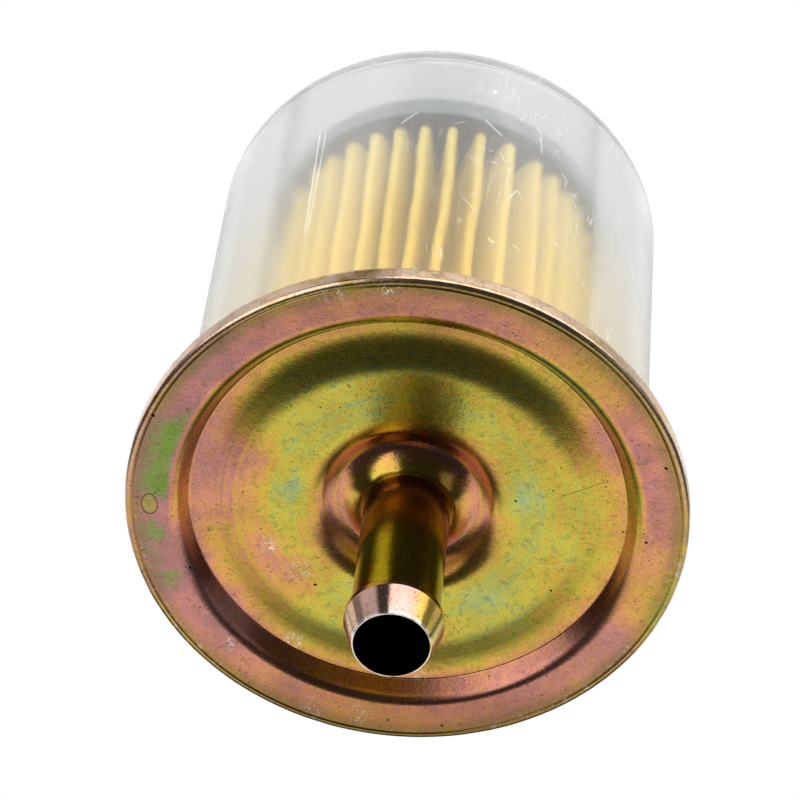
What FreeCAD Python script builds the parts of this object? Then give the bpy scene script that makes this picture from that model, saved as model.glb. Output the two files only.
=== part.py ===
"""In-line fuel filter: a clear cup crimped to a plated steel cover, with a pleated
paper element inside. Lengths are in mm.

Row frame: the filter lies on its side with its axis along Y, the steel outlet nipple
pointing to -Y and the moulded inlet nipple to +Y, Z up. The origin is at mid length
on the axis.

Every turned piece is drawn as (r, s): r is the distance from the axis and s runs
along it, with s = 0 about 1 mm in front of the crimped rim's face and positive towards
the outlet tip.
"""
import FreeCAD, Part
import math
import os

os.makedirs("parts", exist_ok=True)

# ---------------------------------------------------------------- driving sizes
S_OUT_TIP = 18.2          # outlet nipple tip
S_IN_TIP = -69.5          # inlet nipple tip
S_MID = (S_OUT_TIP + S_IN_TIP) / 2.0

SHEET = 0.5               # cover plate thickness
RIM_R = 26.0              # crimped rim, outside radius
RIM_FRONT = -0.95         # front face of the rim
RIM_BACK = -3.2           # underside of the rolled lip
RIM_ROUND = 0.6           # rounding of both rim corners
RIM_DISH = 0.06           # how far the rim's face dips towards the recess
LIP_R = 23.75             # inner edge of the rolled lip
CREASE_R = 20.25          # foot of the recess wall
WALL_TOP_R = 21.3         # top of the recess wall
PANEL_S = -2.9            # outer part of the recessed panel
CENTRE_S = -2.25          # raised centre of the panel
BOSS_R = 8.55             # edge of the dimple round the pipe
BOSS_S = -4.05            # bottom of the dimple

TUBE_R = 4.0              # outlet pipe for 8 mm hose
TUBE_ID_R = 3.05
BARB_R = 4.5              # crest of both hose beads
PIPE_END = -11.0          # inner end of the pipe

GASKET_IN, GASKET_OUT = 22.3, 25.1
FLANGE_TOP = -1.85        # cup flange
FLANGE_LOW = RIM_BACK + SHEET
FLANGE_R = 25.4

CUP_R = 21.85             # cup wall, outside
CUP_END_R = 21.75
CUP_WALL = 1.5
CUP_END = -50.8           # outside of the cup floor
NECK_R = 23.4             # thick neck under the rim
INLET_BORE_R = 2.5
MOUTH_R, MOUTH_END = 3.5, -52.4   # wider way in from the nipple's bore

CAP_R = 16.3              # end caps of the element
CAP_T = 0.5
CLOSED_FACE = -48.3
CLOSED_SKIRT = -44.8
OUTLET_FACE = -6.9
OUTLET_SKIRT = -10.4
NECK_H = 1.5              # collar of the outlet cap

PLEATS = 36
PAPER = 0.4
PLEAT_TIP_R = 15.7
PLEAT_ROOT_R = 9.0
FOLD = 0.35               # mid-paper radius of a fold
PAPER_S0, PAPER_S1 = -45.2, -10.0

CORE_R = 8.6              # perforated centre tube
CORE_T = 0.5
CORE_HOLE_R = 1.25
CORE_ROWS, CORE_COLS = 7, 10

AXIS0 = FreeCAD.Vector(0, 0, 0)
Y = FreeCAD.Vector(0, 1, 0)


# ---------------------------------------------------------------- helpers
def vec(r, s):
    """A profile point in the XY half plane, already in the row frame."""
    return FreeCAD.Vector(r, -(s - S_MID), 0)


def rounded(points, closed=True):
    """Edges through (r, s, fillet) points, each corner rounded by its fillet."""
    n = len(points)
    pts = [(p[0], p[1], p[2] if len(p) > 2 else 0.0) for p in points]
    cuts = []
    for i, (r, s, f) in enumerate(pts):
        end = not closed and i in (0, n - 1)
        if f <= 0 or end:
            cuts.append(((r, s), None, (r, s)))
            continue
        a, b = pts[i - 1], pts[(i + 1) % n]
        ua = (a[0] - r, a[1] - s)
        ub = (b[0] - r, b[1] - s)
        la, lb = math.hypot(*ua), math.hypot(*ub)
        ua = (ua[0] / la, ua[1] / la)
        ub = (ub[0] / lb, ub[1] / lb)
        cosw = max(-1.0, min(1.0, ua[0] * ub[0] + ua[1] * ub[1]))
        half = math.acos(cosw) / 2.0
        t = f / math.tan(half)
        p0 = (r + ua[0] * t, s + ua[1] * t)
        p1 = (r + ub[0] * t, s + ub[1] * t)
        bis = (ua[0] + ub[0], ua[1] + ub[1])
        lbis = math.hypot(*bis)
        d = f / math.sin(half) - f
        mid = (r + bis[0] / lbis * d, s + bis[1] / lbis * d)
        cuts.append((p0, mid, p1))
    edges = []
    for i in range(n if closed else n - 1):
        p0, mid, p1 = cuts[i]
        if mid is not None:
            edges.append(Part.Arc(vec(*p0), vec(*mid), vec(*p1)).toShape())
        q0 = cuts[(i + 1) % n][0]
        if math.hypot(q0[0] - p1[0], q0[1] - p1[1]) > 1e-6:
            edges.append(Part.LineSegment(vec(*p1), vec(*q0)).toShape())
    return edges


def turned(edges):
    """A solid of revolution about the row's Y axis."""
    wire = Part.Wire(Part.__sortEdges__(edges))
    face = Part.Face(wire)
    return face.revolve(AXIS0, Y, 360)


def offset_path(path, t):
    """The path moved by t to the right-hand side as it is walked, mitred."""
    out = []
    n = len(path)
    for i, (r, s, f) in enumerate(path):
        dirs = []
        if i > 0:
            dirs.append((r - path[i - 1][0], s - path[i - 1][1]))
        if i < n - 1:
            dirs.append((path[i + 1][0] - r, path[i + 1][1] - s))
        norms = [(d[1] / math.hypot(*d), -d[0] / math.hypot(*d)) for d in dirs]
        if len(norms) == 1:
            out.append((r + norms[0][0] * t, s + norms[0][1] * t, 0.0))
            continue
        a, b = norms
        k = t / (1.0 + a[0] * b[0] + a[1] * b[1])
        turn = dirs[0][0] * dirs[1][1] - dirs[0][1] * dirs[1][0]
        fillet = f + t if turn > 0 else f - t
        out.append((r + (a[0] + b[0]) * k, s + (a[1] + b[1]) * k, max(fillet, 0.0)))
    return out


def sheet_profile(path, t):
    """Closed profile of a pressed sheet whose front side is the given path."""
    back = offset_path(path, t)
    return rounded(path + back[::-1])


def save(shape, name):
    if not shape.isValid():
        shape.fix(0.001, 0.001, 0.001)
    solids = shape.Solids
    if len(solids) == 1:
        shape = solids[0]
    shape.exportStep("parts/%s.step" % name)


# ---------------------------------------------------------------- cover plate
COVER_FRONT = [
    (TUBE_R + 0.03, BOSS_S, 0.0),
    (7.15, BOSS_S, 0.75),
    (BOSS_R - 0.15, CENTRE_S, 1.1),
    (15.6, CENTRE_S, 2.6),
    (18.6, PANEL_S, 2.6),
    (CREASE_R, PANEL_S, 0.25),
    (WALL_TOP_R, RIM_FRONT - RIM_DISH, 0.9),
    (RIM_R, RIM_FRONT, RIM_ROUND),
    (RIM_R, RIM_BACK, RIM_ROUND),
    (LIP_R, RIM_BACK, 0.0),
]


def build_cover():
    return turned(sheet_profile(COVER_FRONT, SHEET))


# ---------------------------------------------------------------- gasket
def build_gasket():
    lean = RIM_DISH / (RIM_R - WALL_TOP_R)
    gap = 0.012 + SHEET * math.hypot(1.0, lean)

    def under(r):
        return RIM_FRONT - lean * (RIM_R - r) - gap

    low = FLANGE_TOP + 0.005
    return turned(rounded([
        (GASKET_IN, low, 0.1), (GASKET_OUT, low, 0.1),
        (GASKET_OUT, under(GASKET_OUT), 0.1), (GASKET_IN, under(GASKET_IN), 0.1),
    ]))


# ---------------------------------------------------------------- outlet pipe
def build_pipe():
    return turned(rounded([
        (TUBE_ID_R, S_OUT_TIP - 0.25, 0.0),
        (3.28, S_OUT_TIP, 0.05),
        (3.50, S_OUT_TIP, 0.08),
        (BARB_R, 15.15, 0.25),
        (BARB_R, 14.25, 0.18),
        (TUBE_R, 13.75, 0.25),
        (TUBE_R, -7.6, 0.15),
        (TUBE_R + 0.35, -8.05, 0.2),
        (TUBE_R + 0.35, -8.8, 0.2),
        (TUBE_R, -9.25, 0.2),
        (TUBE_R, PIPE_END, 0.2),
        (TUBE_ID_R, PIPE_END, 0.1),
    ]))


# ---------------------------------------------------------------- braze ring
def build_braze():
    foot, top = 6.75, CENTRE_S + 0.15
    low = BOSS_S + 0.005
    inner = TUBE_R + 0.008
    curve = Part.BSplineCurve()
    curve.interpolate([vec(foot, low), vec(5.95, -3.84), vec(5.08, -3.36),
                       vec(4.38, -2.74), vec(inner, top)])
    edges = [curve.toShape(),
             Part.LineSegment(vec(inner, top), vec(inner, low)).toShape(),
             Part.LineSegment(vec(inner, low), vec(foot, low)).toShape()]
    return turned(edges)


# ---------------------------------------------------------------- cup
def build_cup():
    inner_r = CUP_R - CUP_WALL
    floor_in = CUP_END + CUP_WALL
    hose = -53.6
    profile = [
        # outside, from the flange down to the inlet tip
        (FLANGE_R, FLANGE_TOP, 0.15), (FLANGE_R, FLANGE_LOW, 0.35),
        (NECK_R, FLANGE_LOW, 0.0), (NECK_R, -4.9, 1.2), (CUP_R, -7.6, 1.6),
        (CUP_END_R, CUP_END, 2.2),
        (6.6, CUP_END, 0.8), (5.2, -52.6, 0.8), (TUBE_R, hose, 0.6),
        (TUBE_R, S_IN_TIP + 4.0, 0.25), (BARB_R, S_IN_TIP + 3.5, 0.15),
        (BARB_R, S_IN_TIP + 2.6, 0.2),
        (3.55, S_IN_TIP, 0.2), (INLET_BORE_R, S_IN_TIP, 0.15),
        # bore and inside, back up to the flange
        (INLET_BORE_R, MOUTH_END - 1.2, 0.5), (MOUTH_R, MOUTH_END, 0.5),
        (MOUTH_R, floor_in, 0.3), (inner_r - 0.1, floor_in, 1.0),
        (inner_r, -8.1, 1.2), (21.9, -5.1, 1.0), (21.9, FLANGE_TOP, 0.2),
    ]
    cup = turned(rounded(profile))
    # seats that hold the element off the floor and leave the flow a way out
    seat_h = abs(CLOSED_FACE - floor_in) - 0.01
    for i in range(6):
        seat = Part.makeBox(10.0, seat_h + 0.4, 1.4,
                            FreeCAD.Vector(5.2, S_MID - CLOSED_FACE + 0.01, -0.7))
        seat.rotate(AXIS0, Y, 60.0 * i)
        cup = cup.fuse(seat)
    return cup.removeSplitter()


# ---------------------------------------------------------------- element
def build_outlet_cap():
    path = [
        (5.3, OUTLET_FACE + NECK_H, 0.0), (5.3, OUTLET_FACE, 0.7),
        (CAP_R, OUTLET_FACE, 0.8), (CAP_R, OUTLET_SKIRT, 0.0),
    ]
    # walked from the neck outwards, so the material lies on the side of the cap
    return turned(sheet_profile(path, CAP_T))


def build_closed_cap():
    path = [
        (CAP_R, CLOSED_SKIRT, 0.0), (CAP_R, CLOSED_FACE, 0.8),
        (7.6, CLOSED_FACE, 0.5), (7.0, CLOSED_FACE + 0.45, 0.5),
        (0.0, CLOSED_FACE + 0.45, 0.0),
    ]
    back = offset_path(path, CAP_T)
    back[-1] = (0.0, CLOSED_FACE + 0.45 + CAP_T, 0.0)
    return turned(rounded(path + back[::-1]))


def build_potting(at_cap, at_paper):
    """Ring of cast resin; the corner in the cap follows the cap's own bend."""
    return turned(rounded([
        (CORE_R + 0.01, at_cap), (CAP_R - CAP_T - 0.01, at_cap, 0.4),
        (CAP_R - CAP_T - 0.01, at_paper), (CORE_R + 0.01, at_paper),
    ]))


def build_grommet():
    inner, outer = TUBE_R + 0.01, 5.3 - CAP_T - 0.01
    top, low = BOSS_S - SHEET - 0.01, -7.55
    shoulder = OUTLET_FACE + NECK_H + 0.01
    return turned(rounded([
        (inner, top, 0.2), (6.3, top, 0.3), (6.3, shoulder, 0.1),
        (outer, shoulder), (outer, low, 0.2), (inner, low, 0.2),
    ]))


def build_paper():
    """Closed zigzag ring of paper, drawn as a plan and pulled along the axis."""
    step = 2 * math.pi / PLEATS
    tip_c = PLEAT_TIP_R - FOLD - PAPER / 2      # centres of the folds
    root_c = PLEAT_ROOT_R + FOLD + PAPER / 2

    def polar(r, a, off_r=0.0, off_t=0.0):
        ca, sa = math.cos(a), math.sin(a)
        return ((r + off_r) * ca - off_t * sa, (r + off_r) * sa + off_t * ca)

    def side(grow):
        """One side of the paper: outside for grow > 0, inside for grow < 0."""
        arcs = []
        for i in range(PLEATS):
            a, b = i * step, (i + 0.5) * step
            tr = FOLD + grow * PAPER / 2
            rr = FOLD - grow * PAPER / 2
            ct, cr = polar(tip_c, a), polar(root_c, b)
            dx, dy = cr[0] - ct[0], cr[1] - ct[1]
            dist = math.hypot(dx, dy)
            # the leg is the inner tangent of the tip circle and the root circle
            lean = math.asin((tr + rr) / dist)
            base = math.atan2(dy, dx)
            na = base - math.pi / 2 + lean
            nb = na + math.pi
            leave = (ct[0] + tr * math.cos(na), ct[1] + tr * math.sin(na))
            meet = (cr[0] + rr * math.cos(nb), cr[1] + rr * math.sin(nb))
            arcs.append((a, b, tr, rr, leave, meet))
        pts = []
        for i, (a, b, tr, rr, leave, meet) in enumerate(arcs):
            def mirror(p, ang):
                c, s = math.cos(2 * ang), math.sin(2 * ang)
                return (p[0] * c + p[1] * s, p[0] * s - p[1] * c)
            arrive = mirror(leave, a)
            out = mirror(meet, b)
            top = polar(tip_c + tr, a)
            bottom = polar(root_c - rr, b)
            pts.append((arrive, top, leave, meet, bottom, out))
        edges = []
        for i, (arrive, top, leave, meet, bottom, out) in enumerate(pts):
            nxt = pts[(i + 1) % PLEATS][0]
            v = [FreeCAD.Vector(p[0], 0, p[1]) for p in
                 (arrive, top, leave, meet, bottom, out, nxt)]
            edges.append(Part.Arc(v[0], v[1], v[2]).toShape())
            edges.append(Part.LineSegment(v[2], v[3]).toShape())
            edges.append(Part.Arc(v[3], v[4], v[5]).toShape())
            edges.append(Part.LineSegment(v[5], v[6]).toShape())
        return Part.Wire(Part.__sortEdges__(edges))

    outer, inner = side(1.0), side(-1.0)
    face = Part.Face([outer, inner])
    y0 = -(PAPER_S1 - S_MID)
    paper = face.extrude(FreeCAD.Vector(0, PAPER_S1 - PAPER_S0, 0))
    paper.translate(FreeCAD.Vector(0, y0, 0))
    return paper


def build_core():
    s_low = CLOSED_FACE + CAP_T + 0.01
    s_top = OUTLET_FACE - CAP_T - 0.01
    tube = turned(rounded([
        (CORE_R - CORE_T, s_low), (CORE_R, s_low), (CORE_R, s_top), (CORE_R - CORE_T, s_top),
    ]))
    first, last = PAPER_S1 - 3.4, PAPER_S0 + 3.4
    holes = []
    for row in range(CORE_ROWS):
        s = first + (last - first) * row / (CORE_ROWS - 1)
        for col in range(CORE_COLS):
            a = 2 * math.pi * (col + 0.5 * (row % 2)) / CORE_COLS
            out = FreeCAD.Vector(math.cos(a), 0, math.sin(a))
            start = FreeCAD.Vector(out) * (CORE_R - 2.0)
            start.y = -(s - S_MID)
            holes.append(Part.makeCylinder(CORE_HOLE_R, 4.0, start, out))
    return tube.cut(Part.makeCompound(holes))


# ---------------------------------------------------------------- save all nodes
save(build_cover(), "cover_plate")
save(build_gasket(), "cover_gasket")
save(build_pipe(), "outlet_pipe")
save(build_braze(), "outlet_braze_ring")
save(build_cup(), "filter_cup")
save(build_grommet(), "outlet_grommet")
save(build_outlet_cap(), "outlet_end_cap")
save(build_potting(OUTLET_FACE - CAP_T - 0.01, PAPER_S1 + 0.01), "outlet_potting")
save(build_paper(), "pleated_paper")
save(build_core(), "centre_tube")
save(build_closed_cap(), "closed_end_cap")
save(build_potting(CLOSED_FACE + CAP_T + 0.01, PAPER_S0 - 0.01), "closed_potting")
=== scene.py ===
"""Looks for the in-line fuel filter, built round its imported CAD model.

The filter lies on its side with its axis along Y, outlet nipple towards -Y. Turned
shapes are drawn as (r, s) in millimetres, as in the part's source: r is the distance
from the axis and s runs along it, positive towards the outlet tip.
"""

import math

import bmesh
import bpy
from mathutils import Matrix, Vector, noise


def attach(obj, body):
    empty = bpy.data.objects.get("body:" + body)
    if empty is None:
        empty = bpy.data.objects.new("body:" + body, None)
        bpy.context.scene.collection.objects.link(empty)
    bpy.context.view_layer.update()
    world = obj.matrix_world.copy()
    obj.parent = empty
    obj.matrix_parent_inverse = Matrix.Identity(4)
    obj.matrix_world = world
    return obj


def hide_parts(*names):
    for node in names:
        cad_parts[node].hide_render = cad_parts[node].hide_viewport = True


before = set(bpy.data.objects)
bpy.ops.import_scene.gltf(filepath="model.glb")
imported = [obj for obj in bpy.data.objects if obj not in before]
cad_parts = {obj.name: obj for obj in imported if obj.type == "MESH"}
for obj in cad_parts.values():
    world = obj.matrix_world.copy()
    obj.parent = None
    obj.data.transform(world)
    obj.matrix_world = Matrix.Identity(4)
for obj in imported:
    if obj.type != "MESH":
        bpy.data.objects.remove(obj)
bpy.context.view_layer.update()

MM = 0.001
S_MID = -25.65            # s of the row's origin


# ------------------------------------------------------------------ camera
def camera():
    """Fitted to the outlines of the rim, the recess, the nipple, the cup and its cap."""
    data = bpy.data.cameras.new("camera")
    data.lens, data.sensor_width = 189.0, 36.0
    data.clip_start, data.clip_end = 0.01, 50.0
    cam = bpy.data.objects.new("camera", data)
    bpy.context.scene.collection.objects.link(cam)
    cam.location = (0.02104, -0.33597, 0.22672)
    cam.rotation_euler = (math.radians(55.60), 0.0, math.radians(3.97))
    bpy.context.scene.camera = cam


# ------------------------------------------------------------------ node helper
class Nodes:
    """Short calls that add shader nodes to one tree and return their output."""

    def __init__(self, tree):
        self.tree = tree

    def link(self, value, socket):
        if isinstance(value, bpy.types.NodeSocket):
            self.tree.links.new(value, socket)
        else:
            socket.default_value = value

    def add(self, kind, **props):
        n = self.tree.nodes.new(kind)
        for k, v in props.items():
            setattr(n, k, v)
        return n

    def times(self, *factors):
        """Product of two or more values."""
        out = factors[0]
        for f in factors[1:]:
            out = self.math("MULTIPLY", out, f)
        return out

    def larger(self, *values):
        out = values[0]
        for v in values[1:]:
            out = self.math("MAXIMUM", out, v)
        return out

    def length(self, a, b):
        """Distance of the point (a, b) from the origin."""
        return self.math("SQRT", self.math("ADD", self.times(a, a), self.times(b, b)))

    def ring(self, v, up0, up1, down0, down1):
        """A band: rises from up0 to up1 and falls from down0 to down1."""
        return self.times(self.step(v, up0, up1), self.step(v, down0, down1))

    def math(self, op, a, b=None, c=None, clamp=False):
        n = self.add("ShaderNodeMath", operation=op, use_clamp=clamp)
        for i, v in enumerate((a, b, c)):
            if v is not None:
                self.link(v, n.inputs[i])
        return n.outputs[0]

    def vmath(self, op, a, b):
        n = self.add("ShaderNodeVectorMath", operation=op)
        self.link(a, n.inputs[0])
        self.link(b, n.inputs["Scale"] if op == "SCALE" else n.inputs[1])
        return n.outputs[0]

    def coords(self):
        return self.add("ShaderNodeTexCoord").outputs["Object"]

    def split(self, v):
        n = self.add("ShaderNodeSeparateXYZ")
        self.link(v, n.inputs[0])
        return n.outputs

    def join(self, x, y, z):
        n = self.add("ShaderNodeCombineXYZ")
        for i, v in enumerate((x, y, z)):
            self.link(v, n.inputs[i])
        return n.outputs[0]

    def noise(self, vec, scale, detail=2.0, rough=0.5, out=0, distort=0.0):
        n = self.add("ShaderNodeTexNoise")
        self.link(vec, n.inputs["Vector"])
        n.inputs["Scale"].default_value = scale
        n.inputs["Detail"].default_value = detail
        n.inputs["Roughness"].default_value = rough
        n.inputs["Distortion"].default_value = distort
        return n.outputs[out]

    def voronoi(self, vec, scale, out="Distance"):
        n = self.add("ShaderNodeTexVoronoi")
        self.link(vec, n.inputs["Vector"])
        n.inputs["Scale"].default_value = scale
        return n.outputs[out]

    def ramp(self, f, stops):
        n = self.add("ShaderNodeValToRGB")
        self.link(f, n.inputs[0])
        cr = n.color_ramp
        while len(cr.elements) < len(stops):
            cr.elements.new(0.5)
        for e, (p, c) in zip(cr.elements, stops):
            e.position = p
            e.color = (c, c, c, 1.0) if isinstance(c, (int, float)) else (*c, 1.0)
        return n.outputs[0]

    def step(self, v, low, high):
        """Smooth 0 to 1 as v goes from low to high (either way round)."""
        n = self.add("ShaderNodeMapRange", interpolation_type="SMOOTHSTEP")
        self.link(v, n.inputs[0])
        self.link(low, n.inputs[1])
        self.link(high, n.inputs[2])
        return n.outputs[0]

    def mix(self, f, a, b):
        n = self.add("ShaderNodeMix", data_type="RGBA")
        self.link(f, n.inputs[0])
        self.link((*a, 1.0) if isinstance(a, tuple) else a, n.inputs[6])
        self.link((*b, 1.0) if isinstance(b, tuple) else b, n.inputs[7])
        return n.outputs[2]

    def bump(self, height, strength, distance):
        n = self.add("ShaderNodeBump")
        n.inputs["Strength"].default_value = strength
        n.inputs["Distance"].default_value = distance
        self.link(height, n.inputs["Height"])
        return n.outputs[0]


def material(name):
    m = bpy.data.materials.new(name)
    m.use_nodes = True
    n = Nodes(m.node_tree)
    p = m.node_tree.nodes["Principled BSDF"]
    return m, n, p


def srgb(r, g, b):
    """A colour given as 0 to 255 display values, as linear numbers."""
    def lin(c):
        c /= 255.0
        return c / 12.92 if c <= 0.04045 else ((c + 0.055) / 1.055) ** 2.4
    return (lin(r), lin(g), lin(b))


# ------------------------------------------------------------------ shapes
def rounded(points, per_fillet=9, long=1.2, tight=0.07):
    """Points (r, s) along a path through (r, s, fillet), closed, in mm. Straight runs
    get points near both ends so that the shading of a bend stays in the bend."""
    n = len(points)
    arcs = []
    for i, p in enumerate(points):
        r, s, f = p[0], p[1], (p[2] if len(p) > 2 else 0.0)
        if f <= 0:
            arcs.append([(r, s)])
            continue
        a, b = points[i - 1], points[(i + 1) % n]
        ua, ub = Vector((a[0] - r, a[1] - s)), Vector((b[0] - r, b[1] - s))
        ua.normalize()
        ub.normalize()
        half = math.acos(max(-1.0, min(1.0, ua.dot(ub)))) / 2.0
        t = f / math.tan(half)
        corner = Vector((r, s))
        mid = (ua + ub).normalized()
        centre = corner + mid * (f / math.sin(half))
        p0, p1 = corner + ua * t, corner + ub * t
        a0 = math.atan2(p0.y - centre.y, p0.x - centre.x)
        a1 = math.atan2(p1.y - centre.y, p1.x - centre.x)
        turn = (a1 - a0 + math.pi) % (2 * math.pi) - math.pi
        steps = max(3, int(per_fillet * abs(turn) / (math.pi / 2) + 2))
        arcs.append([(centre.x + f * math.cos(a0 + turn * k / steps),
                      centre.y + f * math.sin(a0 + turn * k / steps))
                     for k in range(steps + 1)])
    out = []
    for i in range(n):
        out.extend(arcs[i])
        p, q = Vector(arcs[i][-1]), Vector(arcs[(i + 1) % n][0])
        run = (q - p).length
        if run < 0.3:
            continue
        cuts = [tight, run - tight]
        inner = int(run / long)
        cuts += [run * k / (inner + 1) for k in range(1, inner + 1)]
        for c in sorted(c for c in cuts if tight * 0.9 <= c <= run - tight * 0.9):
            w = p.lerp(q, c / run)
            out.append((w.x, w.y))
    clean = []
    for p in out:
        if not clean or math.dist(p, clean[-1]) > 1e-4:
            clean.append(p)
    if math.dist(clean[0], clean[-1]) < 1e-4:
        clean.pop()
    return clean


def offset(path, t):
    """The open path moved by t to its right-hand side, with mitred corners."""
    out = []
    for i, (r, s, f) in enumerate(path):
        dirs = []
        if i > 0:
            dirs.append((r - path[i - 1][0], s - path[i - 1][1]))
        if i < len(path) - 1:
            dirs.append((path[i + 1][0] - r, path[i + 1][1] - s))
        ns = [(d[1] / math.hypot(*d), -d[0] / math.hypot(*d)) for d in dirs]
        if len(ns) == 1:
            out.append((r + ns[0][0] * t, s + ns[0][1] * t, 0.0))
            continue
        a, b = ns
        k = t / (1.0 + a[0] * b[0] + a[1] * b[1])
        turn = dirs[0][0] * dirs[1][1] - dirs[0][1] * dirs[1][0]
        out.append((r + (a[0] + b[0]) * k, s + (a[1] + b[1]) * k,
                    max(f + (t if turn > 0 else -t), 0.0)))
    return out


def lathe(name, profile, segments=360, shape=None):
    """Turns a closed (r, s) profile about the axis. shape(r, s, angle) may move a
    point and returns the new (r, s)."""
    bm = bmesh.new()
    rings = []
    for k in range(segments):
        a = 2 * math.pi * k / segments
        ring = []
        for r, s in profile:
            if shape:
                r, s = shape(r, s, a)
            ring.append(bm.verts.new((r * math.cos(a) * MM, -(s - S_MID) * MM,
                                      r * math.sin(a) * MM)))
        rings.append(ring)
    m = len(profile)
    for k in range(segments):
        a, b = rings[k], rings[(k + 1) % segments]
        for j in range(m):
            i = (j + 1) % m
            bm.faces.new((a[j], a[i], b[i], b[j]))
    bmesh.ops.remove_doubles(bm, verts=bm.verts[:], dist=1e-7)
    bmesh.ops.recalc_face_normals(bm, faces=bm.faces[:])
    return finish_mesh(name, bm)


def finish_mesh(name, bm, angle=40.0):
    me = bpy.data.meshes.new(name)
    bm.to_mesh(me)
    bm.free()
    me.shade_smooth()
    me.set_sharp_from_angle(angle=math.radians(angle))
    ob = bpy.data.objects.new(name, me)
    bpy.context.scene.collection.objects.link(ob)
    return ob


def stand_for(ob, node, mat):
    """ob rides on the body and is shown in place of a CAD node."""
    ob.data.materials.clear()
    ob.data.materials.append(mat)
    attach(ob, "root")
    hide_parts(node)


# ------------------------------------------------------------------ cover plate
TUBE_R, BARB_R = 4.0, 4.5
RIM_R, RIM_FRONT, RIM_BACK = 26.0, -0.95, -3.2
PANEL_S, CENTRE_S, BOSS_S = -2.9, -2.25, -4.05
SHEET = 0.5

# (r, s, fillet) of the cover's face, from the pipe out to the rolled rim's back edge
COVER_FRONT = [
    (TUBE_R + 0.03, BOSS_S, 0.0), (6.95, BOSS_S, 2.4), (8.7, CENTRE_S, 2.8),
    (15.6, CENTRE_S, 7.0), (18.6, PANEL_S, 7.0), (20.25, PANEL_S, 0.25),
    (21.45, RIM_FRONT - 0.06, 1.5),
    (25.20, RIM_FRONT - 0.01, 0.06), (25.32, RIM_FRONT - 0.10, 0.05),
    (25.44, RIM_FRONT - 0.01, 0.06),
    (RIM_R, RIM_FRONT - 0.02, 0.42), (RIM_R, RIM_BACK, 0.6), (23.75, RIM_BACK, 0.0),
]
# the same without the fine groove on the rim, for the back of the sheet
COVER_PLAIN = [p for p in COVER_FRONT if not 25.0 < p[0] < 25.5]


def cover_shape(r, s, a):
    """Small unevenness left by the press and by the rolling of the rim."""
    x, z = r * math.cos(a), r * math.sin(a)
    s += 0.018 * noise.noise(Vector((x * 0.11, z * 0.11, 1.7)))
    s += 0.006 * noise.noise(Vector((x * 0.5, z * 0.5, 4.1)))
    if r > 25.3 or (s < RIM_BACK + 0.9 and r > 23.0):
        edge = Vector((math.cos(a) * 9, math.sin(a) * 9, s * 0.9))
        r += 0.028 * noise.noise(edge) + 0.012 * noise.noise(edge * 4.3)
    return min(r, RIM_R), s


def build_cover(mat):
    back = offset(COVER_PLAIN, SHEET)
    profile = rounded(COVER_FRONT + back[::-1])
    ob = lathe("cover_plate_pressed", profile, 480, cover_shape)
    stand_for(ob, "cover_plate", mat)


# ------------------------------------------------------------------ outlet pipe
S_OUT_TIP, TUBE_ID_R, PIPE_END = 18.2, 3.05, -11.0

PIPE = [
    (TUBE_ID_R, S_OUT_TIP - 1.1, 0.3), (3.40, S_OUT_TIP, 0.03),
    (3.54, S_OUT_TIP, 0.05), (BARB_R, 15.15, 0.16), (BARB_R, 14.5, 0.12),
    (TUBE_R, 14.1, 0.15), (TUBE_R, -7.6, 0.15), (TUBE_R + 0.35, -8.05, 0.2),
    (TUBE_R + 0.35, -8.8, 0.2), (TUBE_R, -9.25, 0.2), (TUBE_R, PIPE_END, 0.2),
    (TUBE_ID_R, PIPE_END, 0.1),
]


def pipe_shape(r, s, a):
    if r > TUBE_ID_R + 0.05 and s > 13.5:
        n = noise.noise(Vector((math.cos(a) * 3, math.sin(a) * 3, s * 0.8)))
        tip = max(0.0, (s - 17.6) / 0.6)
        fine = noise.noise(Vector((math.cos(a) * 14, math.sin(a) * 14, s)))
        r += 0.012 * n + 0.02 * tip * fine
        s += 0.05 * tip * noise.noise(Vector((math.cos(a) * 5, math.sin(a) * 5, 3.0)))
    return min(r, BARB_R), min(s, S_OUT_TIP)


def build_pipe(mat):
    ob = lathe("outlet_pipe_drawn", rounded(PIPE, long=0.9), 192, pipe_shape)
    stand_for(ob, "outlet_pipe", mat)


def build_braze(mat):
    foot, inner, top = 6.75, TUBE_R + 0.005, CENTRE_S + 0.15
    knots = [(foot, BOSS_S + 0.005), (5.95, -3.84), (5.08, -3.36), (4.38, -2.74),
             (inner, top)]
    fine = []
    for i in range(len(knots) - 1):
        p0, p1 = knots[max(i - 1, 0)], knots[i]
        p2, p3 = knots[i + 1], knots[min(i + 2, len(knots) - 1)]
        for k in range(8):
            t = k / 8
            w = [0.5 * (2 * b + (c - a) * t + (2 * a - 5 * b + 4 * c - d) * t * t
                        + (3 * b - a - 3 * c + d) * t ** 3)
                 for a, b, c, d in zip(p0, p1, p2, p3)]
            fine.append(tuple(w))
    fine += [(inner, top), (inner, BOSS_S + 0.005)]

    def uneven(r, s, a):
        if r > inner + 0.1:
            flow = noise.noise(Vector((math.cos(a) * 1.6, math.sin(a) * 1.6, 7.0)))
            r += 0.09 * flow * (r - inner) / 2.7
            s += 0.03 * noise.noise(Vector((math.cos(a) * 3, math.sin(a) * 3, r)))
        return r, s

    ob = lathe("outlet_braze_fillet", fine, 192, uneven)
    stand_for(ob, "outlet_braze_ring", mat)


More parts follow.
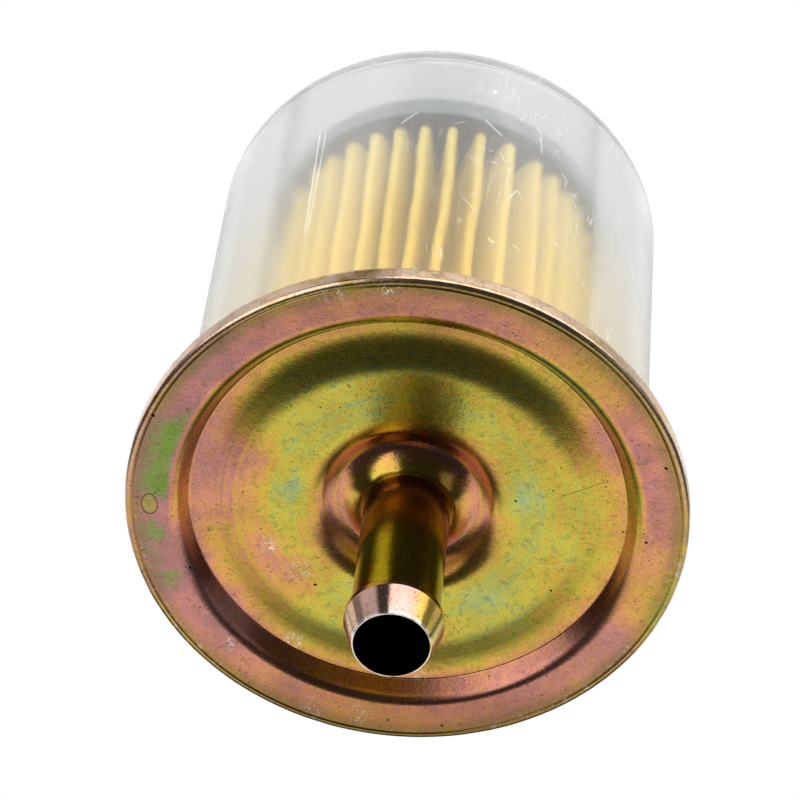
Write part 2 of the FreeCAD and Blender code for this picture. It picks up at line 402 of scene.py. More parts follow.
# ------------------------------------------------------------------ clear cup
CUP_R, CUP_END_R, CUP_END, CUP_WALL = 21.85, 21.75, -50.8, 1.5
FLANGE_TOP, FLANGE_LOW, FLANGE_R, NECK_R = -1.85, RIM_BACK + SHEET, 25.4, 23.4
S_IN_TIP, INLET_BORE_R = -69.5, 2.5
SEATS, SEAT_MID_R, SEAT_LENGTH, SEAT_WIDTH, SEAT_HEIGHT = 6, 10.2, 10.0, 1.4, 0.98
SEAT_SUNK = 0.05          # how far a seat goes into the floor

CUP = [
    (FLANGE_R, FLANGE_TOP, 0.15), (FLANGE_R, FLANGE_LOW, 0.35),
    (NECK_R, FLANGE_LOW, 0.0), (NECK_R, -4.9, 1.2), (CUP_R, -7.6, 1.6),
    (CUP_END_R, CUP_END, 2.2), (6.6, CUP_END, 0.8), (5.2, -52.6, 0.8),
    (TUBE_R, -53.6, 0.6), (TUBE_R, S_IN_TIP + 4.0, 0.25),
    (BARB_R, S_IN_TIP + 3.5, 0.15), (BARB_R, S_IN_TIP + 2.6, 0.2),
    (3.55, S_IN_TIP, 0.2), (INLET_BORE_R, S_IN_TIP, 0.15),
    (INLET_BORE_R, -53.6, 0.5), (3.5, -52.4, 0.5), (3.5, CUP_END + CUP_WALL, 0.3),
    (CUP_R - CUP_WALL - 0.1, CUP_END + CUP_WALL, 1.0),
    (CUP_R - CUP_WALL, -8.1, 1.2), (21.9, -5.1, 1.0), (21.9, FLANGE_TOP, 0.2),
]


def build_cup(mat):
    ob = lathe("filter_cup_moulded", rounded(CUP, long=2.5), 256)
    bm = bmesh.new()
    bm.from_mesh(ob.data)
    # low seats on the floor, spread round the inlet
    floor = -(CUP_END + CUP_WALL - S_MID) * MM
    for i in range(SEATS):
        a = 2 * math.pi * i / SEATS
        for v in bmesh.ops.create_cube(bm, size=1.0)["verts"]:
            x, y, z = v.co
            r, t = SEAT_MID_R + x * SEAT_LENGTH, z * SEAT_WIDTH
            v.co = ((r * math.cos(a) + t * math.sin(a)) * MM,
                    floor - (SEAT_HEIGHT if y < 0 else -SEAT_SUNK) * MM,
                    (-r * math.sin(a) + t * math.cos(a)) * MM)
    bmesh.ops.recalc_face_normals(bm, faces=bm.faces[:])
    bm.to_mesh(ob.data)
    bm.free()
    ob.data.shade_smooth()
    ob.data.set_sharp_from_angle(angle=math.radians(40))
    stand_for(ob, "filter_cup", mat)


# ------------------------------------------------------------------ element
PLEATS, PAPER, FOLD = 36, 0.4, 0.26
PLEAT_TIP_R, PLEAT_ROOT_R = 15.7, 9.0
PAPER_S0, PAPER_S1 = -45.2, -10.0
CAP_R, CAP_T, CLOSED_FACE, CLOSED_SKIRT = 16.3, 0.5, -48.3, -44.8
OUTLET_FACE, OUTLET_SKIRT, NECK_H = -6.9, -10.4, 1.5
CORE_R = 8.6

# how far some folds stand from an even spacing, in degrees
FOLD_SHIFT = {3: -2.0, 4: -3.2, 5: -4.2, 6: -1.7, 7: -0.6, 9: 0.2, 10: -0.6, 11: -1.4,
              12: -1.7, 13: -2.0, 14: -4.6, 15: -2.0}
FIRST_FOLD = 4.0          # degrees


def pleat_centres(v):
    """Per pleat at height v (0 at the closed end, 1 at the outlet end): fold angle and
    change of radius, a little different for every pleat, as in gathered paper. One
    more pleat than there is closes the ring."""
    step = 2 * math.pi / PLEATS
    wave = math.sin(math.pi * v)
    out = []
    for i in range(PLEATS):
        da = math.radians(FOLD_SHIFT[i]) if i in FOLD_SHIFT else (
            0.16 * step * noise.noise(Vector((i * 1.7, 0.3, 0.5))))
        da += 0.16 * step * wave * noise.noise(Vector((i * 2.3, 5.1, v * 2.2)))
        da += 0.05 * step * noise.noise(Vector((i * 3.1, 2.2, v * 7.0)))
        dr = 0.25 * noise.noise(Vector((i * 1.1, 9.4, v * 1.4)))
        out.append((i * step + math.radians(FIRST_FOLD) + da, dr))
    return out + [(out[0][0] + 2 * math.pi, out[0][1])]


def polar(radius, angle):
    return Vector((radius * math.cos(angle), radius * math.sin(angle)))


def tangent(tip, root, radii, sign):
    """Angle at which the leg between a tip arc and a root arc leaves the tip arc.
    radii is the sum of the two arcs' radii."""
    d = root - tip
    lean = math.asin(radii / d.length)
    return math.atan2(d.y, d.x) - sign * (math.pi / 2 - lean)


def paper_face(centres, draw, grow):
    """One face of the paper at one height: tip arc, leg, root arc, leg, per pleat.
    grow is 1 for the outer face and -1 for the inner, draw pulls the tips in."""
    arc, leg = 5, 4
    tip_arc, root_arc = FOLD + grow * PAPER / 2, FOLD - grow * PAPER / 2
    both = tip_arc + root_arc
    inset = FOLD + PAPER / 2
    tips = [polar(PLEAT_TIP_R - inset - abs(dr) - draw, a) for a, dr in centres]
    roots = [polar(PLEAT_ROOT_R + inset, (centres[i][0] + centres[i + 1][0]) / 2)
             for i in range(PLEATS)]
    pts = []
    for i in range(PLEATS):
        tip, root, after = tips[i], roots[i], tips[i + 1]
        start, end = tangent(tip, roots[i - 1], both, -1), tangent(tip, root, both, 1)
        while end < start:
            end += 2 * math.pi
        pts += [tip + polar(tip_arc, start + (end - start) * k / arc)
                for k in range(arc + 1)]
        meet, leave = end + math.pi, tangent(after, root, both, -1) + math.pi
        while leave > meet:
            leave -= 2 * math.pi
        foot = root + polar(root_arc, meet)
        pts += [pts[-1].lerp(foot, k / leg) for k in range(1, leg)]
        pts += [root + polar(root_arc, meet + (leave - meet) * k / arc)
                for k in range(arc + 1)]
        arrive = after + polar(tip_arc, leave - math.pi)
        pts += [pts[-1].lerp(arrive, k / leg) for k in range(1, leg)]
    return pts


def build_paper(mat):
    """Zigzag ring of paper. The tips draw in where they enter the resin."""
    rows = 44
    height = PAPER_S1 - PAPER_S0
    bm = bmesh.new()
    outer, inner = [], []
    for j in range(rows + 1):
        v = j / rows
        from_end = min(v, 1 - v) * height
        draw = 1.1 * math.exp(-(from_end / 0.9) ** 2)
        y = -(PAPER_S0 + height * v - S_MID) * MM
        for rings, grow in ((outer, 1.0), (inner, -1.0)):
            rings.append([bm.verts.new((p.x * MM, y, p.y * MM))
                          for p in paper_face(pleat_centres(v), draw, grow)])
    count = len(outer[0])
    for k in range(count):
        m = (k + 1) % count
        for j in range(rows):
            bm.faces.new((outer[j][k], outer[j][m], outer[j + 1][m], outer[j + 1][k]))
            bm.faces.new((inner[j][m], inner[j][k], inner[j + 1][k], inner[j + 1][m]))
        for j in (0, rows):
            bm.faces.new((outer[j][k], outer[j][m], inner[j][m], inner[j][k]))
    bmesh.ops.recalc_face_normals(bm, faces=bm.faces[:])
    ob = finish_mesh("pleated_paper_gathered", bm, 50)
    stand_for(ob, "pleated_paper", mat)


def build_caps(cap_mat, resin_mat):
    closed = [(CAP_R, CLOSED_SKIRT - 0.25, 0.0), (CAP_R, CLOSED_FACE, 0.8),
              (7.6, CLOSED_FACE, 0.5), (7.0, CLOSED_FACE + 0.45, 0.5),
              (0.02, CLOSED_FACE + 0.45, 0.0)]
    outlet = [(5.3, OUTLET_FACE + NECK_H, 0.0), (5.3, OUTLET_FACE, 0.7),
              (CAP_R, OUTLET_FACE, 0.8), (CAP_R, OUTLET_SKIRT, 0.0)]

    def dented(r, s, a):
        if r > 14.0:
            r += 0.05 * noise.noise(Vector((math.cos(a) * 4, math.sin(a) * 4, s * 0.5)))
        return min(r, CAP_R), s

    for name, path, node in (("closed_cap_pressed", closed, "closed_end_cap"),
                             ("outlet_cap_pressed", outlet, "outlet_end_cap")):
        ob = lathe(name, rounded(path + offset(path, CAP_T)[::-1]), 240, dented)
        stand_for(ob, node, cap_mat)

    free = CLOSED_SKIRT - 0.12

    def poured(r, s, a):
        """The free face of the resin is uneven and creeps up where it was stirred."""
        if abs(s - free) < 0.02 or abs(s - (PAPER_S1 + 0.01)) < 0.02:
            q = Vector((r * math.cos(a) * 0.7, r * math.sin(a) * 0.7, 2.0))
            d = 0.12 * noise.noise(q) + 0.08 * noise.noise(q * 3.0)
            s += -abs(d) if s < -40 else abs(d)
            if s < -40:                                  # creeps up between the folds
                s += 0.10 * noise.noise(Vector((math.cos(a) * 11, math.sin(a) * 11, r)))
        return r, s

    inner, outer = CORE_R + 0.01, CAP_R - CAP_T - 0.01
    for name, cap, paper, node in (
            ("closed_resin_cast", CLOSED_FACE + CAP_T + 0.01, PAPER_S0 - 0.01,
             "closed_potting"),
            ("outlet_resin_cast", OUTLET_FACE - CAP_T - 0.01, PAPER_S1 + 0.01,
             "outlet_potting")):
        if cap < paper:                                  # laps over the skirt's edge
            path = [(inner, cap), (outer, cap, 0.4), (outer, CLOSED_SKIRT - 0.24),
                    (CAP_R - 0.04, CLOSED_SKIRT - 0.24, 0.04),
                    (CAP_R - 0.04, free, 0.05), (inner, free)]
        else:
            path = [(inner, cap), (outer, cap, 0.4), (outer, paper), (inner, paper)]
        ob = lathe(name, rounded(path, long=0.5), 240, poured)
        stand_for(ob, node, resin_mat)


# ------------------------------------------------------------------ materials
# thin film, from thin to thick: teal, green-yellow, yellow, orange, pink, mauve, green
FILM = [
    (0.00, srgb(152, 172, 124)), (0.14, srgb(168, 176, 98)), (0.28, srgb(192, 180, 66)),
    (0.42, srgb(206, 162, 74)), (0.54, srgb(212, 148, 96)), (0.66, srgb(196, 130, 114)),
    (0.80, srgb(172, 118, 120)), (0.92, srgb(130, 140, 84)), (1.00, srgb(112, 146, 60)),
]


def chromate(name, film, rough=(0.17, 0.29), marks=None):
    """Yellow chromate over zinc. film(n, x, z, r, y) gives the film's thickness as a
    number from 0 to 1, which a ramp turns into the interference colours. marks(n,
    colour, co, x, y, z, r, slow, patch) adds the wear of one part, and on the cover and the
    pipe also painted highlights and painted shade. Lengths are in mm."""
    m, n, p = material(name)
    co = n.coords()
    x, y, z = n.split(n.vmath("SCALE", co, 1.0 / MM))
    r = n.length(x, z)
    # the film runs and pools: a slow wander, then patches, mottle and grain
    slow = n.noise(co, 75.0, 3.0, 0.55)
    patch = n.noise(co, 330.0, 3.0, 0.6, distort=0.4)
    mottle = n.noise(co, 1300.0, 2.0, 0.65, distort=0.5)
    grain = n.noise(co, 5200.0, 2.0, 0.6)
    t = film(n, x, z, r, y)
    for wander, amount in ((slow, 0.36), (patch, 0.26), (mottle, 0.34), (grain, 0.18)):
        t = n.math("ADD", t, n.math("MULTIPLY_ADD", wander, amount, -amount / 2))
    colour = n.ramp(t, FILM)
    if marks:
        colour = marks(n, colour, co, x, y, z, r, slow, patch)
    # dull places where the coat is dirty or thick
    dull = n.step(n.noise(co, 160.0, 4.0, 0.65, distort=0.3), 0.40, 0.66)
    colour = n.mix(n.times(dull, 0.20), colour, srgb(120, 96, 62))
    dark = n.step(mottle, 0.46, 0.30)
    colour = n.mix(n.times(dark, 0.30), colour, srgb(96, 78, 44))
    # hair marks drawn outwards, in patches: across and along the hair, in mm
    across = n.times(n.math("ARCTAN2", x, n.times(z, -1.0)), 13.0)
    hairs = n.noise(n.join(across, n.times(r, 0.13), 0.0), 5.5, 3.0, 0.7)
    hairs = n.times(n.step(hairs, 0.50, 0.64), n.step(patch, 0.46, 0.60))
    colour = n.mix(n.times(hairs, 0.34), colour, srgb(104, 98, 44))
    # fine dark specks, grouped by a slower mask
    group = n.step(n.noise(co, 420.0, 2.0), 0.50, 0.66)
    speck = n.times(n.step(n.voronoi(co, 1500.0), 0.20, 0.10), group)
    tiny = n.times(n.step(n.noise(co, 7000.0, 1.5), 0.60, 0.70), 0.55)
    dirt = n.larger(speck, tiny)
    colour = n.mix(n.times(dirt, 0.56), colour, srgb(62, 48, 26))
    # a few deep pits
    warp = n.vmath("SCALE", n.noise(co, 2200.0, 1.0, out=1), 0.0004)
    pit = n.step(n.voronoi(n.vmath("ADD", co, warp), 300.0), 0.050, 0.028)
    colour = n.mix(pit, colour, srgb(30, 22, 14))
    # bright scuffs where bare zinc shows
    rub = n.step(n.noise(co, 2300.0, 2.0, 0.7, distort=1.2), 0.64, 0.70)
    where = n.step(n.noise(co, 95.0, 2.0), 0.60, 0.72)
    colour = n.mix(n.times(rub, where), colour, srgb(214, 208, 190))
    p.inputs["Metallic"].default_value = 1.0
    n.link(colour, p.inputs["Base Color"])
    gloss = n.math("MULTIPLY_ADD", patch, rough[1] - rough[0], rough[0])
    gloss = n.math("ADD", gloss, n.times(dirt, 0.25), clamp=True)
    n.link(gloss, p.inputs["Roughness"])
    height = n.math("ADD", n.times(grain, 0.6), n.times(n.noise(co, 1700.0, 2.0), 0.8))
    height = n.math("SUBTRACT", height, n.times(pit, 6.0))
    n.link(n.bump(height, 0.55, 0.00002), p.inputs["Normal"])
    return m


# round patches of thicker or thinner film on the cover: (x, z, radius, amount)
FILM_SPOTS = (
    (-22.4, 8.0, 3.0, 0.32), (-23.6, 2.8, 2.6, 0.34), (-24.0, -3.0, 2.4, 0.32),
    (-22.9, -8.5, 2.4, 0.24), (-21.5, -7.0, 3.0, 0.06), (-19.5, -12.0, 2.6, 0.10),
    (-17.1, 17.0, 5.0, 0.12), (-12.5, 13.4, 3.5, -0.10), (-17.8, -0.5, 2.6, 0.18),
    (-16.2, 4.2, 4.0, 0.34), (-13.5, -5.5, 3.2, 0.20), (-16.9, -12.3, 4.5, 0.12),
    (-10.5, 1.5, 1.6, -0.25), (-10.5, -8.5, 3.2, 0.14), (-3.4, -23.0, 4.0, -0.12),
    (0.0, 19.2, 4.5, -0.12), (12.5, 15.0, 3.6, -0.12), (17.3, 16.0, 3.5, -0.16),
    (9.5, 2.0, 2.6, -0.12), (17.5, 8.2, 3.4, 0.16), (23.2, 3.6, 3.2, 0.10),
    (7.5, -9.5, 2.8, -0.12), (5.9, -15.3, 3.5, -0.05), (11.0, -19.8, 3.0, 0.06),
    (14.5, -9.0, 3.0, 0.08), (20.5, -13.5, 2.8, 0.16), (22.5, -9.0, 4.0, -0.20),
)


def cover_film(n, x, z, r, y):
    radial = n.ramp(n.times(r, 1.0 / RIM_R), [
        (0.00, 0.50), (0.20, 0.58), (0.30, 0.62), (0.34, 0.46), (0.40, 0.30),
        (0.47, 0.24), (0.54, 0.32), (0.62, 0.30), (0.70, 0.34), (0.765, 0.50),
        (0.785, 0.66), (0.88, 0.64), (0.955, 0.58), (0.985, 0.36), (1.00, 0.50)])
    # spin lines left by the press tool: rings of uneven film inside the recess
    spin = n.add("ShaderNodeTexNoise", noise_dimensions="1D")
    n.link(n.times(r, 2.1), spin.inputs["W"])
    spin.inputs["Scale"].default_value = 1.0
    spin.inputs["Detail"].default_value = 4.0
    spin.inputs["Roughness"].default_value = 0.7
    lines = n.times(n.math("MULTIPLY_ADD", spin.outputs[0], 0.5, -0.25),
                    n.step(r, 19.5, 16.0))
    t = n.math("ADD", radial, lines)
    for px, pz, size, amount in FILM_SPOTS:
        dx = n.times(n.math("SUBTRACT", x, px), 1.0 / size)
        dz = n.times(n.math("SUBTRACT", z, pz), 1.0 / size)
        d = n.math("ADD", n.times(dx, dx), n.times(dz, dz))
        t = n.math("MULTIPLY_ADD", n.math("EXPONENT", n.times(d, -1.0)), amount, t)
    # the upper wall of the recess is greener
    wall = n.times(n.ring(r, 19.9, 20.4, 22.3, 21.5), n.step(z, -7.0, 4.0))
    return n.math("MULTIPLY_ADD", wall, -0.40, t)


def pipe_film(n, x, z, r, y):
    barb = n.step(y, -39.6, -40.4)                      # the cone is pinker in front
    front = n.step(n.math("ABSOLUTE", n.math("ADD", x, 0.6)), 3.6, 1.6)
    return n.math("MULTIPLY_ADD", n.times(barb, front), 0.34, 0.34)


def braze_film(n, x, z, r, y):
    return n.math("MULTIPLY_ADD", n.step(r, 4.0, 6.6), 0.34, 0.32)


# silvery rubs on the cover: (x, z, radius)
RUBS = (
    (-12.8, -4.7, 1.5), (-10.0, -7.5, 1.7), (-6.7, 24.3, 1.8), (-1.4, 25.0, 1.5),
    (-10.9, -16.1, 1.6), (1.4, -19.9, 1.4), (-16.5, -15.5, 1.2), (-9.0, -22.6, 1.5),
    (-4.5, -23.2, 1.6),
)
STAIN_X, STAIN_Z, STAIN_HALF_X, STAIN_HALF_Z = -23.7, 0.4, 0.72, 1.12
HAIR_X, HAIR_Z, HAIR_DX, HAIR_DZ = 14.0, 2.2, 4.7, 1.6


def cover_marks_and_painted_shading(n, colour, co, x, y, z, r, slow, patch):
    # the film is worn thin on the rolled edge and olive just inside it; where it is worn, a
    # painted highlight makes it pale on top and darker olive-grey lower down
    thin = n.times(n.step(r, 25.3, 25.9), n.step(patch, 0.25, 0.55))
    bare_with_painted_highlight = n.mix(n.step(z, -4.0, 12.0), srgb(146, 130, 96), srgb(240, 214, 190))
    colour = n.mix(n.times(thin, 0.8), colour, bare_with_painted_highlight)
    inner = n.times(n.ring(r, 23.7, 25.0, 25.6, 25.4), n.math("MULTIPLY_ADD", slow, 0.8, 0.3))
    colour = n.mix(n.math("MULTIPLY", inner, 0.8, clamp=True), colour, srgb(118, 112, 66))
    # small oval stain near the left edge, with a dark outline
    ex = n.times(n.math("SUBTRACT", x, STAIN_X), 1.0 / STAIN_HALF_X)
    ez = n.times(n.math("SUBTRACT", z, STAIN_Z), 1.0 / STAIN_HALF_Z)
    wobble = n.times(n.math("SUBTRACT", patch, 0.5), 0.35)
    oval = n.math("ADD", n.length(ex, ez), wobble)
    colour = n.mix(n.times(n.step(oval, 1.0, 0.9), 0.7), colour, srgb(156, 152, 66))
    line = n.step(n.math("ABSOLUTE", n.math("SUBTRACT", oval, 1.0)), 0.12, 0.05)
    colour = n.mix(n.times(line, 0.75), colour, srgb(62, 56, 20))
    # silvery rubs
    spots = [n.step(n.length(n.math("SUBTRACT", x, px), n.math("SUBTRACT", z, pz)),
                    size, size * 0.2) for px, pz, size in RUBS]
    frayed = n.step(n.noise(co, 1900.0, 3.0, 0.75, distort=1.5), 0.56, 0.62)
    colour = n.mix(n.times(n.larger(*spots), frayed), colour, srgb(222, 222, 210))
    # one thin scratch on the panel
    length = math.hypot(HAIR_DX, HAIR_DZ)
    du, dv = HAIR_DX / length, HAIR_DZ / length
    px, pz = n.math("SUBTRACT", x, HAIR_X), n.math("SUBTRACT", z, HAIR_Z)
    along = n.math("MULTIPLY_ADD", px, du, n.times(pz, dv))
    off = n.math("ABSOLUTE", n.math("MULTIPLY_ADD", px, dv, n.times(pz, -du)))
    hair = n.times(n.step(off, 0.07, 0.03), n.ring(along, 0.0, 0.4, length, length - 0.5))
    colour = n.mix(n.times(hair, 0.7), colour, srgb(70, 66, 26))
    # chips on the lower edge
    chips = n.times(n.step(r, 24.4, 25.6), n.step(z, 4.0, -12.0),
                    n.step(n.noise(co, 900.0, 3.0, 0.7, distort=0.8), 0.60, 0.66))
    colour = n.mix(n.times(chips, 0.8), colour, srgb(206, 202, 190))
    # painted shade: the bottom of the flat ring is darkened towards brown
    low = n.times(n.step(z, -16.0, -24.0), n.step(r, 20.8, 22.4))
    return n.mix(n.times(low, 0.45), colour, srgb(104, 62, 44))


def pipe_marks_and_painted_highlight(n, colour, co, x, y, z, r, slow, patch):
    # painted highlight: the cone's colour is paled on its lit side; its lip is bare metal and
    # its bore is rusty
    cone_painted_highlight = n.times(n.step(y, -39.9, -40.5), n.step(x, 3.0, 0.6))
    colour = n.mix(n.times(cone_painted_highlight, 0.5), colour, srgb(250, 214, 200))
    lip = n.times(n.step(y, -43.45, -43.75), n.step(patch, 0.36, 0.52))
    colour = n.mix(n.times(lip, 0.85), colour, srgb(240, 238, 230))
    bore = n.times(n.step(r, 3.47, 3.40), n.step(y, -30.0, -34.0))
    rust = n.mix(n.step(patch, 0.4, 0.7), srgb(58, 34, 20), srgb(120, 62, 30))
    return n.mix(bore, colour, rust)


# scratches on the cup: from (degrees round, y) to (degrees round, y), half width in mm,
# strength
SCRATCHES = (
    (119.8, 13.4, 119.4, -8.5, 0.10, 0.55), (117.9, 12.9, 118.5, -8.1, 0.09, 0.45),
    (118.8, 6.0, 119.0, -8.2, 0.28, 0.14),
    (76.6, 11.6, 71.2, 9.3, 0.09, 0.7), (57.2, -4.7, 53.4, -5.2, 0.08, 0.6),
    (66.6, -8.8, 63.8, -9.4, 0.08, 0.6), (93.0, 11.9, 97.8, 9.4, 0.22, 0.22),
    (80.5, -3.0, 76.0, -5.4, 0.07, 0.4), (60.5, -9.0, 60.0, -11.5, 0.07, 0.4),
    (50.0, 2.5, 47.5, -1.5, 0.06, 0.35), (72.0, 6.5, 69.5, 4.5, 0.07, 0.5),
    (44.0, 6.0, 41.5, 1.0, 0.06, 0.3), (54.5, 8.0, 52.0, 6.8, 0.07, 0.5),
    (84.0, 9.8, 81.0, 10.6, 0.06, 0.35), (31.8, 11.9, 30.2, -3.5, 0.07, 0.25),
    (104.0, 2.0, 103.0, -4.0, 0.05, 0.25), (47.0, -7.5, 43.5, -9.5, 0.07, 0.35),
)


def drawn_scratches(n, x, y, z):
    """The scratches of the table, on the cup's outer face."""
    turn = n.times(n.math("ARCTAN2", z, x), CUP_R)
    lines = []
    for a0, y0, a1, y1, wide, much in SCRATCHES:
        u0, u1 = math.radians(a0) * CUP_R, math.radians(a1) * CUP_R
        length = math.hypot(u1 - u0, y1 - y0)
        du, dy = (u1 - u0) / length, (y1 - y0) / length
        pu, py = n.math("SUBTRACT", turn, u0), n.math("SUBTRACT", y, y0)
        along = n.math("MULTIPLY_ADD", pu, du, n.times(py, dy))
        off = n.math("ABSOLUTE", n.math("MULTIPLY_ADD", pu, dy, n.times(py, -du)))
        lines.append(n.times(n.step(off, wide, wide * 0.35),
                             n.ring(along, 0.0, 0.12 * length, length, 0.85 * length), much))
    outside = n.step(n.length(x, z), CUP_R - 0.9, CUP_R - 0.5)
    return n.times(n.larger(*lines), outside)


def hair_scratches(n, co, x):
    """Thin lines of a stretched, warped noise in a few directions, mostly where x > 0."""
    lines = []
    for tilt, scale, cut in ((0.35, 620.0, 0.0055), (-0.9, 520.0, 0.005),
                             (1.35, 430.0, 0.005), (-0.3, 700.0, 0.006)):
        rot = n.add("ShaderNodeMapping")
        rot.inputs["Rotation"].default_value = (0.0, 0.0, tilt)
        rot.inputs["Scale"].default_value = (1.0, 0.10, 1.0)
        n.link(co, rot.inputs["Vector"])
        w = n.noise(rot.outputs[0], scale, 1.0, 0.4, distort=0.6)
        line = n.step(n.math("ABSOLUTE", n.math("SUBTRACT", w, 0.5)), cut, cut * 0.3)
        gate = n.step(n.noise(co, 150.0 + 40 * tilt, 2.0), 0.56, 0.66)
        lines.append(n.times(line, gate, n.step(x, -6.0, 7.0)))
    return n.larger(*lines)


def plastic():
    """Clear moulded plastic: it bends light, with a slight haze, scratches and dust.
    Lamps shine through it."""
    m, n, p = material("clear_cup")
    co = n.coords()
    x, y, z = n.split(n.vmath("SCALE", co, 1.0 / MM))
    cloud = n.noise(co, 60.0, 3.0)
    hairs = hair_scratches(n, co, x)
    # a wall seen on edge is cloudier than one seen square
    facing = n.add("ShaderNodeLayerWeight")
    facing.inputs["Blend"].default_value = 0.5
    edge = n.math("POWER", facing.outputs["Facing"], 2.5)
    end_plate = n.step(y, 22.4, 24.6)
    dust = n.times(n.step(n.voronoi(co, 900.0), 0.10, 0.05),
                   n.step(n.noise(co, 180.0), 0.55, 0.68))
    fine = n.times(n.step(n.voronoi(co, 2300.0), 0.17, 0.08),
                   n.step(n.noise(co, 210.0, 3.0, 0.6), 0.47, 0.60), n.step(x, -8.0, 6.0))
    haze = n.math("MULTIPLY_ADD", cloud, 0.06, 0.045)
    for cause, amount in ((end_plate, 0.20), (edge, 0.34), (fine, 0.30), (hairs, 0.42),
                          (drawn_scratches(n, x, y, z), 1.0)):
        haze = n.math("MULTIPLY_ADD", cause, amount, haze)
    haze = n.math("ADD", haze, n.times(dust, 0.22), clamp=True)
    n.link(n.math("SUBTRACT", 1.0, haze), p.inputs["Transmission Weight"])
    base = n.mix(cloud, srgb(238, 239, 238), srgb(231, 232, 233))
    low = n.step(y, 14.0, -18.0)                        # light off the paper
    n.link(n.mix(n.times(low, 0.9), base, srgb(243, 230, 198)), p.inputs["Base Color"])
    p.inputs["IOR"].default_value = 1.49
    n.link(n.math("MULTIPLY_ADD", edge, 0.26, 0.055), p.inputs["Roughness"])
    n.link(n.bump(n.math("ADD", cloud, hairs), 0.10, 0.0001), p.inputs["Normal"])
    clear = n.add("ShaderNodeBsdfTransparent")
    clear.inputs[0].default_value = (0.93, 0.93, 0.93, 1.0)
    mix = n.add("ShaderNodeMixShader")
    n.link(n.add("ShaderNodeLightPath").outputs["Is Shadow Ray"], mix.inputs[0])
    n.link(p.outputs[0], mix.inputs[1])
    n.link(clear.outputs[0], mix.inputs[2])
    n.link(mix.outputs[0], m.node_tree.nodes["Material Output"].inputs[0])
    return m


def paper():
    """Cream paper that lets some light through its folds."""
    m, n, p = material("filter_paper")
    co = n.coords()
    fibre = n.noise(co, 2600.0, 4.0, 0.65)
    mottle = n.noise(co, 240.0, 3.0, 0.6)
    colour = n.mix(mottle, srgb(240, 225, 132), srgb(233, 212, 112))
    colour = n.mix(n.times(n.step(fibre, 0.55, 0.75), 0.35), colour, srgb(246, 230, 170))
    n.link(colour, p.inputs["Base Color"])
    p.inputs["Roughness"].default_value = 0.85
    p.inputs["Specular IOR Level"].default_value = 0.25
    n.link(n.bump(fibre, 0.35, 0.0001), p.inputs["Normal"])
    glow = n.add("ShaderNodeBsdfTranslucent")
    n.link(colour, glow.inputs[0])
    mix = n.add("ShaderNodeMixShader")
    mix.inputs[0].default_value = 0.45
    n.link(p.outputs[0], mix.inputs[1])
    n.link(glow.outputs[0], mix.inputs[2])
    n.link(mix.outputs[0], m.node_tree.nodes["Material Output"].inputs[0])
    return m


def grey_sheet(name, light, dark, rough=0.38, metal=0.85):
    """Dull sheet metal with a faint spangle."""
    m, n, p = material(name)
    co = n.coords()
    spangle = n.split(n.voronoi(co, 520.0, out="Color"))[0]
    fine = n.noise(co, 1800.0, 3.0)
    f = n.math("MULTIPLY_ADD", spangle, 0.5, n.times(fine, 0.5))
    n.link(n.mix(f, dark, light), p.inputs["Base Color"])
    p.inputs["Metallic"].default_value = metal
    n.link(n.math("MULTIPLY_ADD", f, 0.2, rough - 0.1), p.inputs["Roughness"])
    n.link(n.bump(fine, 0.25, 0.00004), p.inputs["Normal"])
    return m


def resin():
    """Dark cast resin with pale bits in it."""
    m, n, p = material("potting_resin")
    co = n.coords()
    flow = n.noise(co, 420.0, 4.0, 0.65)
    bits = n.step(n.voronoi(co, 1300.0), 0.22, 0.08)
    colour = n.ramp(flow, [(0.3, srgb(30, 22, 20)), (0.55, srgb(58, 44, 40)),
                           (0.75, srgb(96, 80, 74))])
    colour = n.mix(n.times(bits, 0.45), colour, srgb(170, 156, 140))
    n.link(colour, p.inputs["Base Color"])
    n.link(n.math("MULTIPLY_ADD", flow, 0.35, 0.3), p.inputs["Roughness"])
    n.link(n.bump(flow, 0.6, 0.0003), p.inputs["Normal"])
    return m


def rubber(name, tone):
    m, n, p = material(name)
    co = n.coords()
    bloom = n.noise(co, 700.0, 4.0, 0.6)
    n.link(n.mix(bloom, tone, tuple(c * 2.2 for c in tone)), p.inputs["Base Color"])
    n.link(n.math("MULTIPLY_ADD", bloom, 0.25, 0.55), p.inputs["Roughness"])
    n.link(n.bump(bloom, 0.3, 0.0001), p.inputs["Normal"])
    return m


# ------------------------------------------------------------------ studio
FLOOR_Z = -0.09


def lamp(name, loc, target, size, power):
    """A square lamp with no image of its own in the plating."""
    data = bpy.data.lights.new(name, "AREA")
    data.shape, data.size = "SQUARE", size
    data.energy = power
    ob = bpy.data.objects.new(name, data)
    ob.location = loc
    ob.rotation_euler = (Vector(loc) - Vector(target)).to_track_quat("Z", "Y").to_euler()
    ob.visible_glossy = False
    bpy.context.scene.collection.objects.link(ob)


def white_for_camera(n, level):
    """level for reflections and shadows, and plain white where the camera sees it."""
    return n.larger(level, n.add("ShaderNodeLightPath").outputs["Is Camera Ray"])


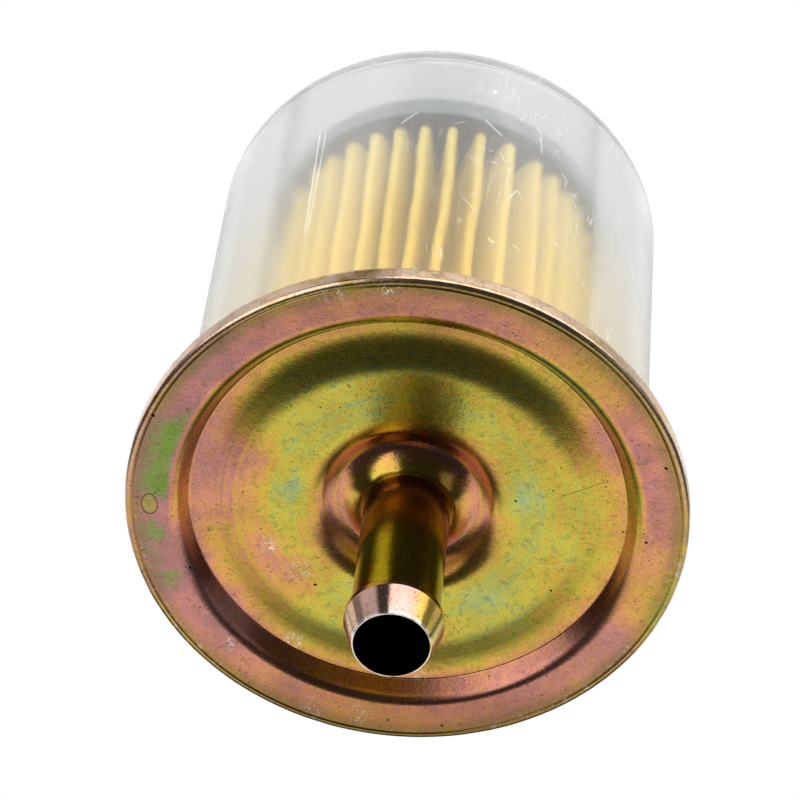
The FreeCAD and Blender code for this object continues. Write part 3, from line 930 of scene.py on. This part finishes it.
def build_floor():
    """A pale sheet that glows instead of being lit, so its light is painted light: bright in
    front of the filter and behind it, falling off at the sides, with a painted shadow in the
    part's own shade."""
    bm = bmesh.new()
    bmesh.ops.create_grid(bm, x_segments=2, y_segments=2, size=2.5)
    floor = finish_mesh("floor", bm)
    floor.location = (0.0, 0.0, FLOOR_Z)
    m, n, p = material("floor_painted_light")
    x, y, z = n.split(n.coords())
    side = n.math("ABSOLUTE", n.math("ADD", x, 0.015))
    # painted shadow: the floor's glow is cut down under the part, where its own shade falls
    shade = n.larger(n.step(y, -0.040, -0.122), n.step(side, 0.055, 0.095))
    near = n.times(n.step(y, -0.245, -0.180), n.step(side, 0.24, 0.12), shade, 1.16)
    back = n.times(n.step(y, 0.08, 0.15), 0.86)
    level = n.math("ADD", n.larger(near, back), 0.05)
    glow = n.add("ShaderNodeEmission")
    n.link(white_for_camera(n, level), glow.inputs[1])
    n.link(glow.outputs[0], m.node_tree.nodes["Material Output"].inputs[0])
    floor.data.materials.append(m)


def build_room():
    """A dark room with pale panels: a long one overhead and behind, one on the left
    with a gap between the two, its dimmer far end, a pale wall low down at the back
    and a dim panel low down on the right."""
    world = bpy.data.worlds.new("studio")
    bpy.context.scene.world = world
    world.use_nodes = True
    n = Nodes(world.node_tree)
    x, y, z = n.split(n.add("ShaderNodeTexCoord").outputs["Generated"])
    top = n.times(n.ring(y, 0.06, 0.16, 0.845, 0.775), n.step(z, 0.22, 0.40),
                  n.step(x, -0.18, -0.13))
    left = n.times(n.step(x, -0.26, -0.36), n.step(z, 0.20, 0.34), n.step(y, 0.24, 0.14))
    far_left = n.times(n.step(x, -0.52, -0.60), n.step(y, 0.14, 0.24),
                       n.step(z, 0.20, 0.34))
    wall = n.times(n.step(y, 0.35, 0.60), n.ring(z, -0.05, 0.10, 0.50, 0.42))
    right = n.times(n.step(x, 0.62, 0.76), n.step(z, 0.45, 0.25))
    panels = n.larger(n.times(top, 2.1), n.times(left, 1.65), n.times(right, 0.30),
                      n.times(far_left, 0.7), n.times(wall, 0.75))
    level = white_for_camera(n, n.math("ADD", panels, 0.035))
    background = world.node_tree.nodes["Background"]
    background.inputs["Color"].default_value = (1.0, 1.0, 1.0, 1.0)
    n.link(level, background.inputs["Strength"])


# ------------------------------------------------------------------ build
bpy.context.scene.view_settings.view_transform = "Standard"
camera()
build_floor()
build_room()
lamp("key", (0.12, -0.28, 0.82), (0, 0.01, 0), 0.5, 5.9)

build_cover(chromate("chromate_cover", cover_film, marks=cover_marks_and_painted_shading))
build_pipe(chromate("chromate_pipe", pipe_film, (0.10, 0.17), pipe_marks_and_painted_highlight))
build_braze(chromate("chromate_braze", braze_film, (0.12, 0.22)))
build_cup(plastic())
build_paper(paper())
build_caps(grey_sheet("tinplate", srgb(168, 173, 178), srgb(126, 131, 137)), resin())

# parts the cup and the rim hide keep their CAD shapes
for node, mat in (("cover_gasket", rubber("gasket_rubber", srgb(30, 30, 31))),
                  ("outlet_grommet", rubber("grommet_rubber", srgb(38, 38, 40))),
                  ("centre_tube", grey_sheet("core_sheet", srgb(190, 192, 194),
                                             srgb(140, 142, 146), 0.32, 1.0))):
    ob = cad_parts[node]
    ob.data.materials.clear()
    ob.data.materials.append(mat)
